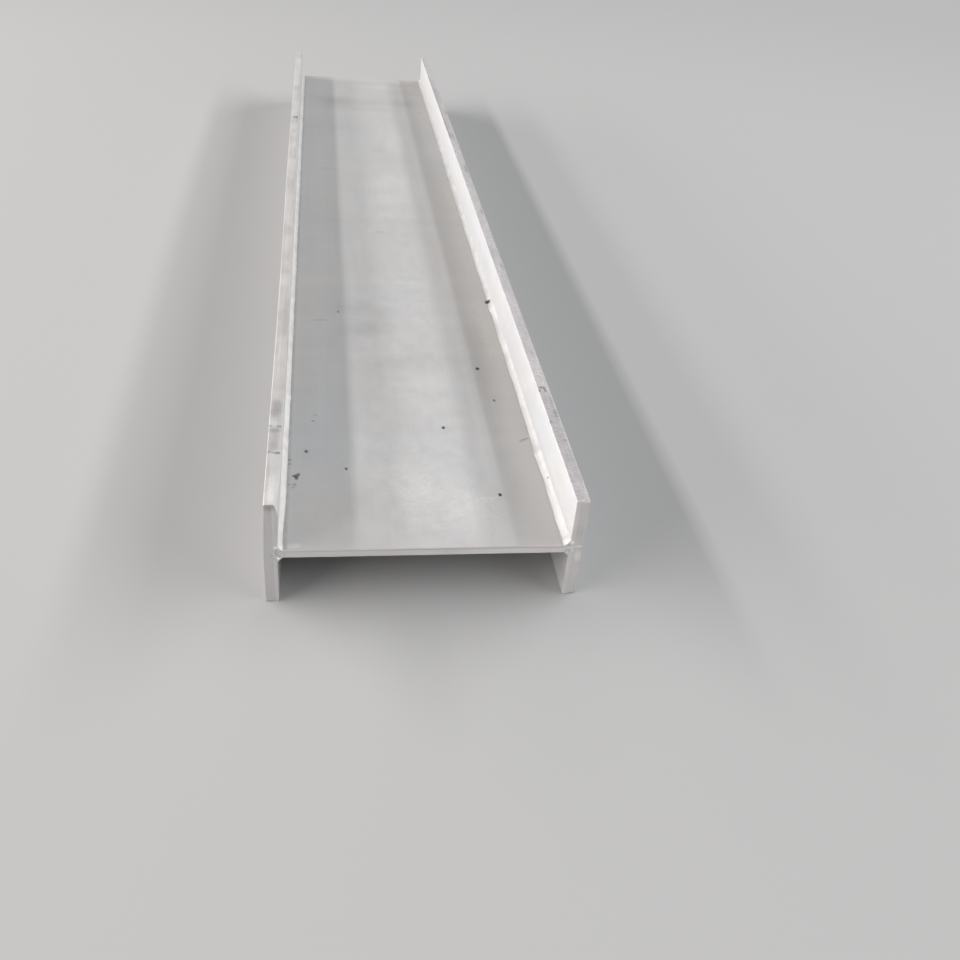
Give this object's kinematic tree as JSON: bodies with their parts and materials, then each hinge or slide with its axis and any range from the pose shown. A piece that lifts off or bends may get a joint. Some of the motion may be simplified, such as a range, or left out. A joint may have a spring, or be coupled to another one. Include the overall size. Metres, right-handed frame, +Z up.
{
  "type": "welded steel i-beam",
  "caption": "I-shaped structural beam welded from flat steel plate: a thin web joined to square-edged flanges by fillet welds, for columns, frames and floor beams.",
  "frame": {"origin": "centre of the footprint, on the plane that the beam lies on, with its web level", "axes": "+Y along the beam, X across the depth of the section from flange to flange, +Z up across the width of the flanges"},
  "size_m": [0.36, 2.1, 0.136],
  "materials": {
    "plate_steel": "matt pickled stainless plate, cloudy light grey",
    "weld_metal": "silvery pickled weld bead with fine ripples"
  },
  "bodies": {
    "root": {"web_plate": "plate_steel", "flange_left": "plate_steel", "flange_right": "plate_steel", "weld_upper_left": "weld_metal", "weld_upper_right": "weld_metal", "weld_lower_left": "weld_metal", "weld_lower_right": "weld_metal"}
  },
  "joints": []
}
